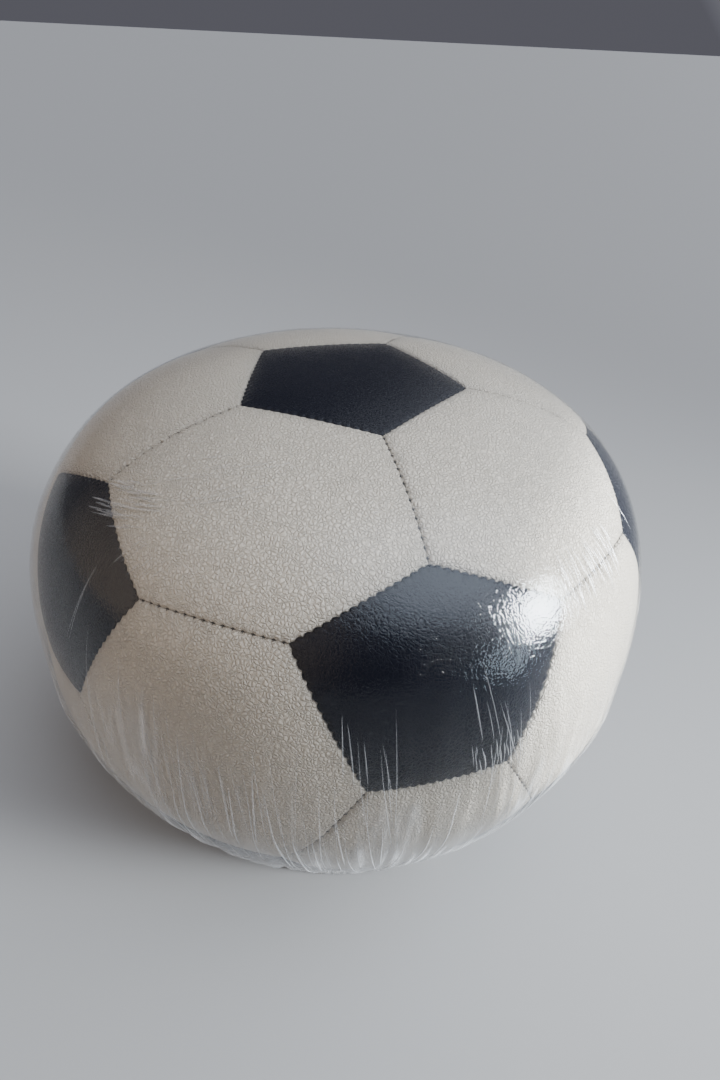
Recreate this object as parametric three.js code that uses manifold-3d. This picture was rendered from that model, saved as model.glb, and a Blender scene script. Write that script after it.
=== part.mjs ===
// A football-patterned floor pouffe: a squashed, stuffed ball sewn from twelve dark pentagons and twenty
// pale hexagons of leatherette. It has a filling zip in its base, a liner bag of beads inside and a wrap of
// clear film around it.
// Millimetres, +Z up. The origin is on the floor under the middle, and one dark side panel faces -Y.
import * as THREE from 'three';
import { mergeVertices } from 'three/addons/utils/BufferGeometryUtils.js';
import Module from 'manifold-3d';

const wasm = await Module();
wasm.setup();

// Cover: its outline from the crown, over the girth, to the floor and the raised middle of the base.
const GIRTH_RADIUS = 222.5;
const CROWN_HEIGHT = 186;
const CROWN_POWER = 2.96;
const GIRTH_HEIGHT = 155;
const WALL_DROP = 46;
const FOOT_RADIUS = 123;
const FOOT_REACH = 38;
const RECESS_RADIUS = 88;
const RECESS_FLAT_RADIUS = 62;
const RECESS_HEIGHT = 7;
const LEATHERETTE = 1.2;

// Corners of the panels: distance from the crown along the surface, and degrees either side of the sector.
const SECTORS = 5;
const FRONT_AZIMUTH = -90;
const CORNER_RINGS = {
  crown: { along: 80, spread: 0, turn: 0 },
  apex: { along: 175, spread: 0, turn: 0 },
  shoulder: { along: 216, spread: 23, turn: 0 },
  hip: { along: 306, spread: 11, turn: 0 },
  lowHip: { along: 394, spread: 11.8, turn: 0.5 },
  lowShoulder: { along: 464, spread: 22.4, turn: 0.5 },
  lowApex: { along: 508, spread: 0, turn: 0.5 },
  base: { along: 588, spread: 0, turn: 0.5 },
};
const EDGE_STEPS = 4;
const PANEL_GAP = 0.6;

// Layers under and over the cover, as depths below its surface.
const SEAM_ALLOWANCE = { outer: 2.0, inner: 3.0, width: 7 };
const LINER = { outer: 6.0, inner: 6.8, slit: 84, slitWidth: 4, turns: 24, steps: 14 };
const FILLING_DEPTH = 8.0;
const FILM = { inner: -2.2, outer: -2.5, hemRadius: 140, turns: 40, steps: 20 };

// Filling zip, straight across the flat middle of the base along X.
const ZIP_SLOT = 9;
const TAPE = { length: 108, width: 13, thickness: 0.6 };
const CHAIN_LENGTH = 96;
const COIL = { width: 2.6, height: 1.8, pitch: 4, root: 1.4, gap: 0.4 };
const STOP = { length: 3, height: 2.4 };
const FIT_GAP = 0.3;
const SLIDER = { length: 11, tail: 7, width: 8.4, plate: 1.1, flange: 0.9, flangeLength: 8, flangeRise: 2 };
const ARCH = { length: 6.4, width: 2, bar: 0.8, hole: 1.8, post: 1 };
const PULL = { length: 21, width: 6.4, thickness: 1, bar: 1.2, window: 3.6, windowWidth: 3, eye: 1.3 };
const TRAVEL_START = -38;

const CREAM = new THREE.MeshStandardMaterial({ name: 'cream_leatherette', color: 0xd9d4c6, roughness: 0.5 });
const NAVY = new THREE.MeshStandardMaterial({ name: 'navy_leatherette', color: 0x121620, roughness: 0.35 });
const THREAD = new THREE.MeshStandardMaterial({ name: 'seam_allowance', color: 0x3a3733, roughness: 0.8 });
const TAPE_CLOTH = new THREE.MeshStandardMaterial({ name: 'zip_tape', color: 0x1c1d22, roughness: 0.9 });
const NYLON = new THREE.MeshStandardMaterial({ name: 'zip_coil', color: 0x24252b, roughness: 0.45 });
const NICKEL = new THREE.MeshStandardMaterial({
  name: 'zip_metal', color: 0xb5b6b8, roughness: 0.3, metalness: 1,
});
const LINER_CLOTH = new THREE.MeshStandardMaterial({ name: 'liner_cloth', color: 0xe8e8e4, roughness: 0.9 });
const BEADS = new THREE.MeshStandardMaterial({ name: 'bead_filling', color: 0xf4f4f2, roughness: 0.8 });
const CLEAR_FILM = new THREE.MeshStandardMaterial({
  name: 'clear_film', color: 0xffffff, roughness: 0.12, transparent: true, opacity: 0.2,
});

const model = new THREE.Group();

function addPart(name, geometry, material) {
  const mesh = new THREE.Mesh(geometry, material);
  mesh.name = name;
  model.add(mesh);
  return mesh;
}

// ---- Outline of the cover: points (radius, height above the floor) from the crown to the base's middle ----

function crownPoints(count) {
  return Array.from({ length: count + 1 }, (_, i) => {
    const angle = (i / count) * (Math.PI / 2);
    const sin = Math.sin(angle);
    const cos = Math.cos(angle);
    const reach = (sin ** CROWN_POWER + Math.abs(cos) ** CROWN_POWER) ** (-1 / CROWN_POWER);
    return new THREE.Vector2(GIRTH_RADIUS * reach * sin, GIRTH_HEIGHT + CROWN_HEIGHT * reach * cos);
  });
}

function skirtPoints(count) {
  const skirt = new THREE.CubicBezierCurve(
    new THREE.Vector2(GIRTH_RADIUS, GIRTH_HEIGHT),
    new THREE.Vector2(GIRTH_RADIUS, GIRTH_HEIGHT - WALL_DROP),
    new THREE.Vector2(FOOT_RADIUS + FOOT_REACH, 0),
    new THREE.Vector2(FOOT_RADIUS, 0),
  );
  return skirt.getPoints(count).slice(1);
}

function basePoints(count) {
  const rise = Array.from({ length: count + 1 }, (_, i) => {
    const part = i / count;
    const radius = THREE.MathUtils.lerp(RECESS_RADIUS, RECESS_FLAT_RADIUS, part);
    return new THREE.Vector2(radius, RECESS_HEIGHT * THREE.MathUtils.smoothstep(part, 0, 1));
  });
  return [...rise, new THREE.Vector2(0, RECESS_HEIGHT)];
}

const outline = [...crownPoints(90), ...skirtPoints(90), ...basePoints(16)];
const outlineLengths = outline.map(() => 0);
for (let i = 1; i < outline.length; i++) {
  outlineLengths[i] = outlineLengths[i - 1] + outline[i].distanceTo(outline[i - 1]);
}

function outlineNormal(index) {
  const before = outline[Math.max(index - 1, 0)];
  const after = outline[Math.min(index + 1, outline.length - 1)];
  return new THREE.Vector2(before.y - after.y, after.x - before.x).normalize();
}

const outlineNormals = outline.map((_, i) => outlineNormal(i));
outlineNormals[0].set(0, 1);
outlineNormals[outline.length - 1].set(0, -1);

// The angle of a point of the outline, down from the axis, as seen from the middle of the girth.
const polarAngle = (point) => Math.atan2(point.x, point.y - GIRTH_HEIGHT);
const outlineAngles = outline.map(polarAngle);

// The outline's point and normal where `values`, which rise along it, reach `value`.
function outlineAt(values, value) {
  let next = values.findIndex((v) => v >= value);
  if (next < 0) next = values.length - 1;
  next = Math.max(next, 1);
  const part = (value - values[next - 1]) / (values[next] - values[next - 1]);
  return {
    point: outline[next - 1].clone().lerp(outline[next], part),
    normal: outlineNormals[next - 1].clone().lerp(outlineNormals[next], part).normalize(),
  };
}

// The outline again in `steps` equal stretches up to a length, moved `depth` inwards. The ends on the axis
// stay on it.
function offsetOutline(depth, steps, length = outlineLengths[outline.length - 1]) {
  return Array.from({ length: steps + 1 }, (_, i) => {
    const { point, normal } = outlineAt(outlineLengths, (length * i) / steps);
    const moved = point.addScaledVector(normal, -depth);
    if (i === 0 || point.x < 1) moved.x = 0;
    return moved;
  });
}

// ---- The football pattern, as directions from the middle of the girth ----

function corner(ringName, sector, side = 0) {
  const ring = CORNER_RINGS[ringName];
  const { point } = outlineAt(outlineLengths, ring.along);
  const degrees = FRONT_AZIMUTH + (sector + ring.turn) * (360 / SECTORS) + side * ring.spread;
  const azimuth = THREE.MathUtils.degToRad(degrees);
  const height = point.y - GIRTH_HEIGHT;
  return new THREE.Vector3(point.x * Math.cos(azimuth), point.x * Math.sin(azimuth), height).normalize();
}

// Every panel with its corners anticlockwise from outside; the pattern repeats in each of the five sectors.
function patternPanels() {
  const sectors = Array.from({ length: SECTORS }, (_, k) => k);
  const panels = [{ name: 'pentagon_top', corners: sectors.map((k) => corner('crown', k)) }];
  for (const k of sectors) {
    const [below, above] = [k - 1, k + 1];
    const label = k + 1;
    panels.push({
      name: `pentagon_upper_${label}`,
      corners: [corner('apex', k), corner('shoulder', k, -1), corner('hip', k, -1), corner('hip', k, 1),
        corner('shoulder', k, 1)],
    }, {
      name: `pentagon_lower_${label}`,
      corners: [corner('lowApex', k), corner('lowShoulder', k, 1), corner('lowHip', k, 1),
        corner('lowHip', k, -1), corner('lowShoulder', k, -1)],
    }, {
      name: `hexagon_crown_${label}`,
      corners: [corner('crown', k), corner('apex', k), corner('shoulder', k, 1),
        corner('shoulder', above, -1), corner('apex', above), corner('crown', above)],
    }, {
      name: `hexagon_upper_${label}`,
      corners: [corner('shoulder', k, 1), corner('hip', k, 1), corner('lowHip', k, -1),
        corner('lowHip', k, 1), corner('hip', above, -1), corner('shoulder', above, -1)],
    }, {
      name: `hexagon_lower_${label}`,
      corners: [corner('hip', k, -1), corner('lowHip', below, 1), corner('lowShoulder', below, 1),
        corner('lowShoulder', k, -1), corner('lowHip', k, -1), corner('hip', k, 1)],
    }, {
      name: `hexagon_base_${label}`,
      corners: [corner('lowShoulder', below, 1), corner('lowApex', below), corner('base', below),
        corner('base', k), corner('lowApex', k), corner('lowShoulder', k, -1)],
    });
  }
  panels.push({ name: 'pentagon_base', corners: sectors.map((k) => corner('base', -k)) });
  return panels;
}

const middleOf = (corners) => corners.reduce((sum, c) => sum.add(c), new THREE.Vector3()).normalize();

// The point `depth` below the cover's surface, seen from the middle of the girth in `direction`.
function coverPoint(direction, depth) {
  const across = Math.hypot(direction.x, direction.y);
  const { point, normal } = outlineAt(outlineAngles, Math.atan2(across, direction.z));
  const radius = point.x - normal.x * depth;
  const scale = across > 0 ? radius / across : 0;
  return new THREE.Vector3(direction.x * scale, direction.y * scale, point.y - normal.y * depth);
}

// Directions around a panel's edge, drawn in towards its middle by `inset` of its size.
function rimDirections(corners, inset, steps) {
  const middle = middleOf(corners);
  const rim = [];
  corners.forEach((start, side) => {
    const end = corners[(side + 1) % corners.length];
    for (let i = 0; i < steps; i++) {
      rim.push(start.clone().lerp(end, i / steps).lerp(middle, inset));
    }
  });
  return rim;
}

// ---- Meshes from triangles ----

// One closed mesh from a list of corner points, three to a triangle.
function meshFromTriangles(corners) {
  const soup = new THREE.BufferGeometry().setFromPoints(corners);
  const geometry = mergeVertices(soup, 1e-4);
  geometry.computeVertexNormals();
  return geometry;
}

// The flat quad a-b-c-d as two triangles.
const quad = (a, b, c, d) => [a, b, c, a, c, d];

// A panel's curved plate: a fan of rings from its middle on both faces, and a wall around its rim.
function panelGeometry(corners) {
  const width = 2 * Math.min(...corners.map((c) => c.distanceTo(middleOf(corners)))) * GIRTH_RADIUS;
  const inset = PANEL_GAP / width;
  const middle = middleOf(corners);
  const ringAt = (ring) => (ring === 0 ? [middle] : rimDirections(corners, inset, ring)
    .map((direction) => middle.clone().lerp(direction, ring / EDGE_STEPS)));
  const rings = Array.from({ length: EDGE_STEPS + 1 }, (_, ring) => ringAt(ring));
  const faces = [];
  for (let ring = 1; ring <= EDGE_STEPS; ring++) {
    const [inside, outside] = [rings[ring - 1], rings[ring]];
    corners.forEach((_, side) => {
      for (let i = 0; i < ring; i++) {
        const near = (side * (ring - 1) + i) % inside.length;
        const far = side * ring + i;
        faces.push([inside[near], outside[far], outside[(far + 1) % outside.length]]);
        if (i > 0) {
          const last = (side * (ring - 1) + i - 1) % inside.length;
          faces.push([inside[last], outside[far], inside[near]]);
        }
      }
    });
  }
  const outer = faces.flat().map((direction) => coverPoint(direction, 0));
  const inner = faces.flatMap(([a, b, c]) => [a, c, b])
    .map((direction) => coverPoint(direction, LEATHERETTE));
  const rim = rings[EDGE_STEPS];
  const wall = rim.flatMap((direction, i) => {
    const next = rim[(i + 1) % rim.length];
    return quad(coverPoint(direction, 0), coverPoint(direction, LEATHERETTE),
      coverPoint(next, LEATHERETTE), coverPoint(next, 0));
  });
  return meshFromTriangles([...outer, ...inner, ...wall]);
}

// The turned-in edges behind every seam, sewn together: one net of strips under the panels' edges.
function seamAllowanceGeometry(panels) {
  const { outer, inner, width } = SEAM_ALLOWANCE;
  const triangles = panels.flatMap(({ corners }) => {
    const apothem = corners[0].clone().lerp(corners[1], 0.5).distanceTo(middleOf(corners)) * GIRTH_RADIUS;
    const edge = rimDirections(corners, 0, EDGE_STEPS);
    const inside = rimDirections(corners, width / 2 / apothem, EDGE_STEPS);
    return edge.flatMap((direction, i) => {
      const next = (i + 1) % edge.length;
      const at = (list, index, depth) => coverPoint(list[index], depth);
      return [
        ...quad(at(edge, i, outer), at(edge, next, outer), at(inside, next, outer), at(inside, i, outer)),
        ...quad(at(edge, i, inner), at(inside, i, inner), at(inside, next, inner), at(edge, next, inner)),
        ...quad(at(inside, i, outer), at(inside, next, outer), at(inside, next, inner), at(inside, i, inner)),
      ];
    });
  });
  return meshFromTriangles(triangles);
}

// A turned body about Z from outline points that run from the top of the axis round to the bottom or back.
function turnedGeometry(points, turns) {
  return new THREE.LatheGeometry([...points].reverse(), turns).rotateX(Math.PI / 2);
}

// ---- Solids for cutting and joining ----

function toSolid(geometry) {
  const bare = geometry.clone();
  bare.deleteAttribute('normal');
  bare.deleteAttribute('uv');
  const merged = mergeVertices(bare, 1e-4);
  const mesh = new wasm.Mesh({
    numProp: 3,
    vertProperties: new Float32Array(merged.attributes.position.array),
    triVerts: new Uint32Array(merged.index.array),
  });
  return new wasm.Manifold(mesh);
}

function fromSolid(solid) {
  const mesh = solid.getMesh();
  const geometry = new THREE.BufferGeometry();
  geometry.setAttribute('position', new THREE.BufferAttribute(new Float32Array(mesh.vertProperties), 3));
  geometry.setIndex(new THREE.BufferAttribute(new Uint32Array(mesh.triVerts), 1));
  geometry.computeVertexNormals();
  return geometry;
}

function box(size, centre) {
  return new THREE.BoxGeometry(...size).translate(...centre);
}

// An outline in X and Z, `width` thick along Y and centred on it.
function sideOutline(points, width) {
  const shape = new THREE.Shape(points.map(([x, z]) => new THREE.Vector2(x, z)));
  return new THREE.ExtrudeGeometry(shape, { depth: width, bevelEnabled: false })
    .translate(0, 0, -width / 2).rotateX(Math.PI / 2);
}

// ---- Cover, seams, liner, filling and film ----

function addCover(panels) {
  for (const { name, corners } of panels) {
    if (name !== 'pentagon_base') {
      addPart(`panel_${name}`, panelGeometry(corners), name.startsWith('pentagon') ? NAVY : CREAM);
    }
  }
}

// The base pentagon is two pieces, one each side of the zip.
function addBaseHalves(panels) {
  const whole = toSolid(panelGeometry(panels.find(({ name }) => name === 'pentagon_base').corners));
  const reach = 2 * RECESS_RADIUS;
  for (const [label, side] of [['front', -1], ['back', 1]]) {
    const keep = toSolid(box([reach, reach, reach], [0, (side * (reach + ZIP_SLOT)) / 2, 0]));
    addPart(`panel_pentagon_base_${label}`, fromSolid(whole.intersect(keep)), NAVY);
  }
}

function addLinerAndFilling() {
  const shell = [
    ...offsetOutline(LINER.outer, LINER.steps),
    ...offsetOutline(LINER.inner, LINER.steps).reverse(),
  ];
  const slit = toSolid(box([LINER.slit, LINER.slitWidth, 4 * RECESS_HEIGHT], [0, 0, 2 * RECESS_HEIGHT]));
  addPart('liner_bag', fromSolid(toSolid(turnedGeometry(shell, LINER.turns)).subtract(slit)), LINER_CLOTH);
  addPart('bead_filling', turnedGeometry(offsetOutline(FILLING_DEPTH, LINER.steps), LINER.turns), BEADS);
}

function addFilm() {
  const hem = outline.findLastIndex((point) => point.x > FILM.hemRadius);
  const length = outlineLengths[hem];
  const film = [
    ...offsetOutline(FILM.outer, FILM.steps, length),
    ...offsetOutline(FILM.inner, FILM.steps, length).reverse(),
  ];
  addPart('stretch_film', turnedGeometry(film, FILM.turns), CLEAR_FILM);
}

// ---- Filling zip ----

const TAPE_Z = RECESS_HEIGHT + LEATHERETTE + FIT_GAP;
const COIL_TOP = TAPE_Z - FIT_GAP;
const COIL_BOTTOM = COIL_TOP - COIL.height;
const PLATE_TOP = COIL_BOTTOM - FIT_GAP;
const PLATE_BOTTOM = PLATE_TOP - SLIDER.plate;
const PIVOT_Z = PLATE_BOTTOM - ARCH.hole / 2;

// One side's coil, as a comb whose teeth point at the other side.
function coilGeometry() {
  const count = Math.floor(CHAIN_LENGTH / COIL.pitch);
  const comb = [[count * COIL.pitch, 0], [0, 0]];
  for (let i = 0; i < count; i++) {
    const start = i * COIL.pitch;
    comb.push([start, COIL.width], [start + COIL.pitch / 2, COIL.width],
      [start + COIL.pitch / 2, COIL.root], [start + COIL.pitch, COIL.root]);
  }
  const shape = new THREE.Shape(comb.map(([x, y]) => new THREE.Vector2(x, y)));
  return new THREE.ExtrudeGeometry(shape, { depth: COIL.height, bevelEnabled: false })
    .translate((-count * COIL.pitch) / 2, -COIL.width, 0);
}

function addTapesAndCoils() {
  for (const [label, side] of [['front', -1], ['back', 1]]) {
    const tape = box([TAPE.length, TAPE.width, TAPE.thickness],
      [0, side * (TAPE.width + COIL.gap) / 2, TAPE_Z + TAPE.thickness / 2]);
    addPart(`zip_tape_${label}`, tape, TAPE_CLOTH);
    const coil = addPart(`zip_coil_${label}`, coilGeometry(), NYLON);
    coil.position.set(0, (side * COIL.gap) / 2, COIL_BOTTOM);
    if (side > 0) coil.rotation.z = Math.PI;
  }
}

// A stop across both coils at each end of the chain.
function addStops() {
  const width = 2 * COIL.width + COIL.gap;
  for (const [label, end] of [['bottom', 1], ['top', -1]]) {
    const x = end * (CHAIN_LENGTH / 2 + FIT_GAP + STOP.length / 2);
    const stop = box([STOP.length, width, STOP.height], [x, 0, COIL_TOP - STOP.height / 2]);
    addPart(`zip_stop_${label}`, stop, NICKEL);
  }
}

// The slider: a plate under the coils, tapered to its tail, with a flange each side of them and an arch
// for the pull.
function sliderGeometry() {
  const half = SLIDER.length / 2;
  const plan = new THREE.Shape([
    [-half, -SLIDER.tail / 2], [0, -SLIDER.width / 2], [half, -SLIDER.width / 2],
    [half, SLIDER.width / 2], [0, SLIDER.width / 2], [-half, SLIDER.tail / 2],
  ].map(([x, y]) => new THREE.Vector2(x, y)));
  const plate = new THREE.ExtrudeGeometry(plan, { depth: SLIDER.plate, bevelEnabled: false })
    .translate(0, 0, PLATE_BOTTOM);
  const flangeY = COIL.gap / 2 + COIL.width + FIT_GAP + SLIDER.flange / 2;
  const flangeHeight = SLIDER.flangeRise + SLIDER.plate / 2;
  const flanges = [-1, 1].map((side) => box(
    [SLIDER.flangeLength, SLIDER.flange, flangeHeight],
    [0, side * flangeY, PLATE_TOP + SLIDER.flangeRise - flangeHeight / 2],
  ));
  const [end, foot] = [ARCH.length / 2, PLATE_BOTTOM + SLIDER.plate / 2];
  const [low, high] = [PLATE_BOTTOM - ARCH.hole - ARCH.bar, PLATE_BOTTOM - ARCH.hole];
  const arch = sideOutline([
    [-end, foot], [-end, high], [-end + ARCH.bar, low], [end - ARCH.bar, low], [end, high], [end, foot],
    [end - ARCH.post, foot], [end - ARCH.post, high], [-end + ARCH.post, high], [-end + ARCH.post, foot],
  ], ARCH.width);
  const solids = [plate, ...flanges, arch].map(toSolid);
  return fromSolid(solids.reduce((joined, solid) => joined.add(solid)));
}

// The pull: a tab with a window for the arch to pass through and an eye at its free end, lying along the zip.
function pullGeometry() {
  const [half, start] = [PULL.width / 2, -PULL.bar / 2];
  const neck = half * 0.75;
  const tab = new THREE.Shape();
  tab.moveTo(start, -half);
  tab.lineTo(start + PULL.window + 2, -half);
  tab.lineTo(start + PULL.window + 5, -neck);
  tab.lineTo(PULL.length - half, -half);
  tab.absarc(PULL.length - half, 0, half, -Math.PI / 2, Math.PI / 2, false);
  tab.lineTo(start + PULL.window + 5, neck);
  tab.lineTo(start + PULL.window + 2, half);
  tab.lineTo(start, half);
  const windowHalf = PULL.windowWidth / 2;
  const [near, far] = [PULL.bar / 2, PULL.bar / 2 + PULL.window];
  tab.holes.push(new THREE.Path([
    [near, -windowHalf], [near, windowHalf], [far, windowHalf], [far, -windowHalf],
  ].map(([x, y]) => new THREE.Vector2(x, y))));
  tab.holes.push(new THREE.Path().absarc(PULL.length - half, 0, PULL.eye, 0, 2 * Math.PI, true));
  return new THREE.ExtrudeGeometry(tab, { depth: PULL.thickness, bevelEnabled: false, curveSegments: 8 })
    .translate(0, 0, -PULL.thickness / 2);
}

function addSliderAndPull() {
  addPart('zip_slider', sliderGeometry(), NICKEL).position.x = TRAVEL_START;
  addPart('zip_pull', pullGeometry(), NICKEL).position.set(TRAVEL_START, 0, PIVOT_Z);
}

const panels = patternPanels();
addCover(panels);
addBaseHalves(panels);
addPart('seam_allowance', seamAllowanceGeometry(panels), THREAD);
addLinerAndFilling();
addFilm();
addTapesAndCoils();
addStops();
addSliderAndPull();

export default model;
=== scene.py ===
# %% [markdown]
# # A football-patterned pouffe, still in its clear wrapping
#
# A pouffe is a stuffed ball to sit on. Its cover is sewn from twelve dark pentagons and twenty pale
# hexagons of leatherette, as a football is. It sags under its own weight, so it is wider than it is tall
# and stands on a flat ring. Clear stretch film is still wound round it. The imported CAD model is the fixed
# frame: every piece made here sits where the frame says, and where it stands for one of the frame's nodes,
# that node is hidden.

# %% Tools and frame
import math
import random

import bmesh
import bpy
import numpy as np
from mathutils import Matrix, Vector, noise


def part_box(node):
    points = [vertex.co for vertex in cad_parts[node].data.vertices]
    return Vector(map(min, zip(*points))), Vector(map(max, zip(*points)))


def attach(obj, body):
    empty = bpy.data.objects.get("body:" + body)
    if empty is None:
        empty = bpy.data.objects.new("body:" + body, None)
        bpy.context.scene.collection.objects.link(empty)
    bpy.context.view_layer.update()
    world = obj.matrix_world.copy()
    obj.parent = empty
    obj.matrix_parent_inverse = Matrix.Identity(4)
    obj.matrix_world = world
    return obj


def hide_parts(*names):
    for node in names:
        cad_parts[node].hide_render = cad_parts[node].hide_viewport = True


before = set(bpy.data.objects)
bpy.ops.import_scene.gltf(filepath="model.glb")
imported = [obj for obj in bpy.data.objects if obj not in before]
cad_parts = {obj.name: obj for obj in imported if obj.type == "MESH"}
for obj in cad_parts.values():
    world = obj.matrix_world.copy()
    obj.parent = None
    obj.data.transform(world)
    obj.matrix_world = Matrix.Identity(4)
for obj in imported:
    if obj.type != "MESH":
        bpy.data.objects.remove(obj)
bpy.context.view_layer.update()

# %% [markdown]
# ## The cover's outline
#
# The pouffe is a body of revolution before its seams pull it in. Its outline runs from the crown over the
# girth to the floor, then across the flat ring it stands on and up to the raised middle of its base. The
# crown is a quarter of a superellipse, which is flatter on top than a circle. The skirt is one Bezier
# curve, because it has to leave the girth straight down and meet the floor flat. These are the sizes that
# the CAD model was made with, in metres, and the cell compares its top with the frame's.

# %% The outline's sizes
GIRTH_RADIUS, GIRTH_HEIGHT = 0.2225, 0.155
CROWN_HEIGHT, CROWN_POWER = 0.186, 2.96
WALL_DROP, FOOT_RADIUS, FOOT_REACH = 0.046, 0.123, 0.038
RECESS_RADIUS, RECESS_FLAT_RADIUS, RECESS_HEIGHT = 0.088, 0.062, 0.007
LEATHERETTE = 0.0012
CURVE_STEPS, RECESS_STEPS = 400, 80

cover_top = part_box("panel_pentagon_top")[1].z
print("cover's top is", round(cover_top, 4), "m and should be", GIRTH_HEIGHT + CROWN_HEIGHT)

# %% The outline as points
def outline_points():
    """Points (radius, height) from the crown to the middle of the base, close enough to look smooth."""
    angle = np.linspace(0, np.pi / 2, CURVE_STEPS)
    sin, cos = np.sin(angle), np.abs(np.cos(angle))
    reach = (sin**CROWN_POWER + cos**CROWN_POWER) ** (-1 / CROWN_POWER)
    crown = np.stack([GIRTH_RADIUS * reach * sin, GIRTH_HEIGHT + CROWN_HEIGHT * reach * cos], 1)
    t = np.linspace(0, 1, CURVE_STEPS)[1:, None]
    corners = [(GIRTH_RADIUS, GIRTH_HEIGHT), (GIRTH_RADIUS, GIRTH_HEIGHT - WALL_DROP),
               (FOOT_RADIUS + FOOT_REACH, 0), (FOOT_RADIUS, 0)]
    weights = [(1 - t) ** 3, 3 * (1 - t) ** 2 * t, 3 * (1 - t) * t**2, t**3]
    skirt = sum(w * np.array(c) for w, c in zip(weights, corners))
    part = np.linspace(0, 1, RECESS_STEPS)
    rise = np.stack([RECESS_RADIUS + (RECESS_FLAT_RADIUS - RECESS_RADIUS) * part,
                     RECESS_HEIGHT * part**2 * (3 - 2 * part)], 1)
    return np.concatenate([crown, skirt, rise, [(0, RECESS_HEIGHT)]])


outline = outline_points()
along = np.concatenate([[0], np.cumsum(np.hypot(*np.diff(outline, axis=0).T))])
polar = np.arctan2(outline[:, 0], outline[:, 1] - GIRTH_HEIGHT)
slope = np.gradient(outline, axis=0)
normals = np.stack([-slope[:, 1], slope[:, 0]], 1)
normals /= np.linalg.norm(normals, axis=1)[:, None]
normals[0], normals[-1] = (0, 1), (0, -1)
print("from the crown to the base's middle:", round(along[-1], 3), "m along the cover")


# %% Points on the cover
def on_cover(directions, height=0.0):
    """Points `height` above the cover where rays from the middle of the girth leave it, and their normals."""
    across = np.hypot(directions[:, 0], directions[:, 1])
    angle = np.arctan2(across, directions[:, 2])
    azimuth = np.arctan2(directions[:, 1], directions[:, 0])
    radius, z = np.interp(angle, polar, outline[:, 0]), np.interp(angle, polar, outline[:, 1])
    out, up = np.interp(angle, polar, normals[:, 0]), np.interp(angle, polar, normals[:, 1])
    length = np.hypot(out, up)
    normal = np.stack([out * np.cos(azimuth), out * np.sin(azimuth), up], 1) / length[:, None]
    base = np.stack([radius * np.cos(azimuth), radius * np.sin(azimuth), z], 1)
    return base + normal * np.reshape(height, (-1, 1)), normal


def direction_at(length_along, degrees):
    """The direction, from the middle of the girth, of the cover's point at a distance from the crown."""
    radius, z = np.interp(length_along, along, outline[:, 0]), np.interp(length_along, along, outline[:, 1])
    azimuth = np.radians(degrees)
    point = np.stack([radius * np.cos(azimuth), radius * np.sin(azimuth), z - GIRTH_HEIGHT + 0 * azimuth], -1)
    return point / np.linalg.norm(point, axis=-1, keepdims=True)


# %% [markdown]
# ## The football pattern
#
# A football's pattern is a truncated icosahedron: its corners lie on eight rings round the ball, and five
# equal sectors repeat. On this sagging ball the rings have moved, so each has its own distance from the
# crown. Every panel is then a list of corner directions, anticlockwise from outside, and the seams between
# corners lie in planes through the middle of the girth. One dark side panel faces -Y.

# %% Corners and panels
SECTORS, FRONT = 5, -90
RINGS = {  # distance from the crown in metres, degrees either side of the sector, sectors turned
    "crown": (0.080, 0, 0), "apex": (0.175, 0, 0), "shoulder": (0.216, 23, 0), "hip": (0.306, 11, 0),
    "low_hip": (0.394, 11.8, 0.5), "low_shoulder": (0.464, 22.4, 0.5),
    "low_apex": (0.508, 0, 0.5), "base": (0.588, 0, 0.5),
}


def corner(ring, sector, side=0):
    distance, spread, turn = RINGS[ring]
    return direction_at(distance, FRONT + (sector + turn) * 360 / SECTORS + side * spread)


def football_panels():
    """Each panel's corner directions: one on the crown, six kinds in each sector and one on the base."""
    found = {"pentagon_top": [corner("crown", k) for k in range(SECTORS)]}
    for k in range(SECTORS):
        found[f"pentagon_upper_{k + 1}"] = [
            corner("apex", k), corner("shoulder", k, -1), corner("hip", k, -1),
            corner("hip", k, 1), corner("shoulder", k, 1)]
        found[f"pentagon_lower_{k + 1}"] = [
            corner("low_apex", k), corner("low_shoulder", k, 1), corner("low_hip", k, 1),
            corner("low_hip", k, -1), corner("low_shoulder", k, -1)]
        found[f"hexagon_crown_{k + 1}"] = [
            corner("crown", k), corner("apex", k), corner("shoulder", k, 1),
            corner("shoulder", k + 1, -1), corner("apex", k + 1), corner("crown", k + 1)]
        found[f"hexagon_upper_{k + 1}"] = [
            corner("shoulder", k, 1), corner("hip", k, 1), corner("low_hip", k, -1),
            corner("low_hip", k, 1), corner("hip", k + 1, -1), corner("shoulder", k + 1, -1)]
        found[f"hexagon_lower_{k + 1}"] = [
            corner("hip", k, -1), corner("low_hip", k - 1, 1), corner("low_shoulder", k - 1, 1),
            corner("low_shoulder", k, -1), corner("low_hip", k, -1), corner("hip", k, 1)]
        found[f"hexagon_base_{k + 1}"] = [
            corner("low_shoulder", k - 1, 1), corner("low_apex", k - 1), corner("base", k - 1),
            corner("base", k), corner("low_apex", k), corner("low_shoulder", k, -1)]
    found["pentagon_base"] = [corner("base", -k) for k in range(SECTORS)]
    return {name: np.array(corners) for name, corners in found.items()}


panels = football_panels()
middles = {name: c.mean(0) / np.linalg.norm(c.mean(0)) for name, c in panels.items()}
seams_of_pentagons = {tuple(np.round((c[i] + c[(i + 1) % 5]) / 2, 3)) for name, c in panels.items()
                      if name.startswith("pentagon") for i in range(5)}
print(len(panels), "panels,", len(seams_of_pentagons), "seams round dark panels")


# %% [markdown]
# ## Meshes
#
# Every mesh here starts as arrays of points and faces, because a few thousand points moved by one formula
# are far quicker than a loop over them. `make_mesh` turns the arrays into an object that sits at the
# origin, unturned and unscaled, with its place in its points, as a CAD node's is.

# %% Mesh helpers
def shown(mesh):
    """A new object of a mesh, with the mesh's name."""
    made = bpy.data.objects.new(mesh.name, mesh)
    bpy.context.scene.collection.objects.link(made)
    return made


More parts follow.
